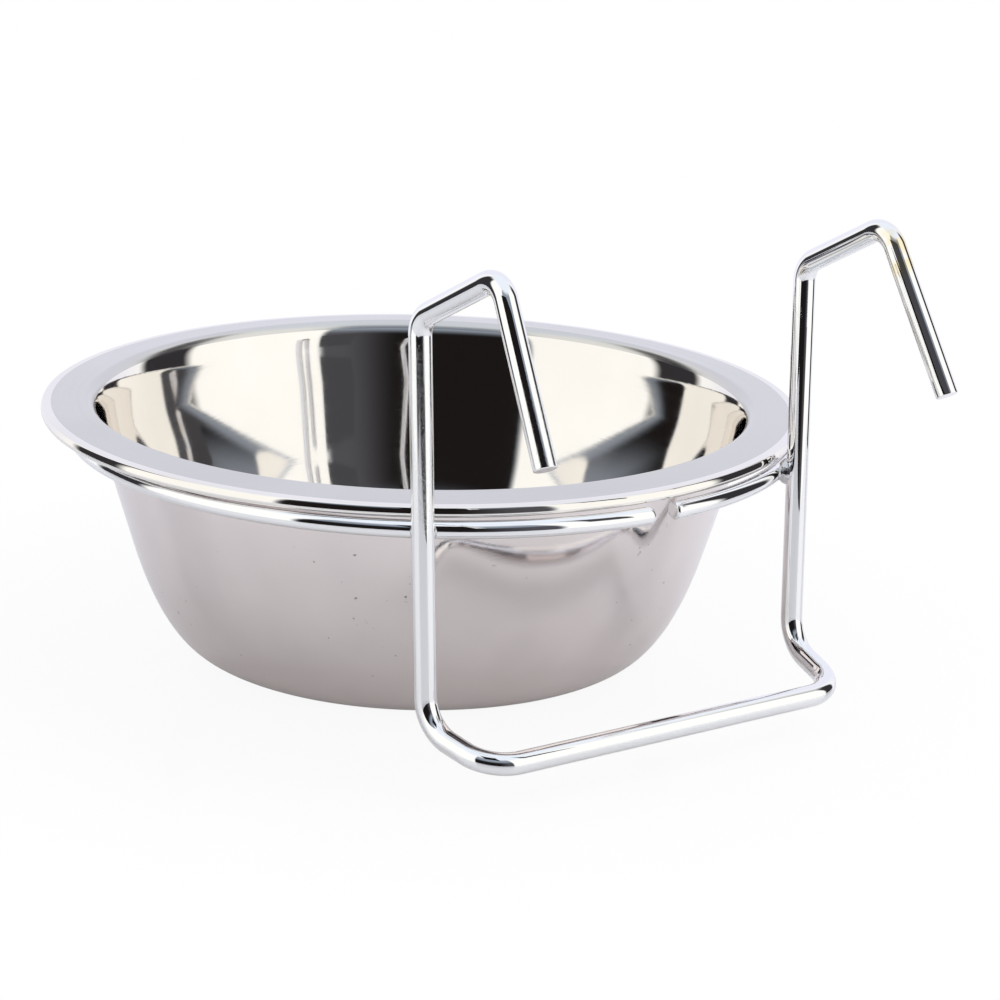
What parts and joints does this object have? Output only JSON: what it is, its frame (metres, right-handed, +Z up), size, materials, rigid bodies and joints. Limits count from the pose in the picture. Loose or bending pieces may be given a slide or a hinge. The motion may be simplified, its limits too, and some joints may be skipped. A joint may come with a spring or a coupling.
{
  "type": "hanging crate bowl",
  "caption": "Round drawn-steel pet bowl with a wide flat rim, resting in a welded chrome wire ring whose hooks hang it on a crate's wire wall; the bowl lifts out.",
  "frame": {"origin": "centre of the bowl's flat base, on its underside", "axes": "+Z up along the bowl's axis, -Y towards the hooks, X along the crossbar"},
  "size_m": [0.16, 0.1926, 0.1034],
  "materials": {
    "bowl_steel": "polished inside, satin outside",
    "wire_chrome": "bright chrome plate"
  },
  "bodies": {
    "holder": {"support_ring": "wire_chrome", "hanger_frame": "wire_chrome", "left_weld": "wire_chrome", "right_weld": "wire_chrome"},
    "bowl": {"bowl": "bowl_steel"}
  },
  "joints": [
    {"name": "bowl_lift", "type": "slide", "parent": "holder", "child": "bowl", "axis": [0, 0, 1], "range_m": [0, 0.06]}
  ]
}
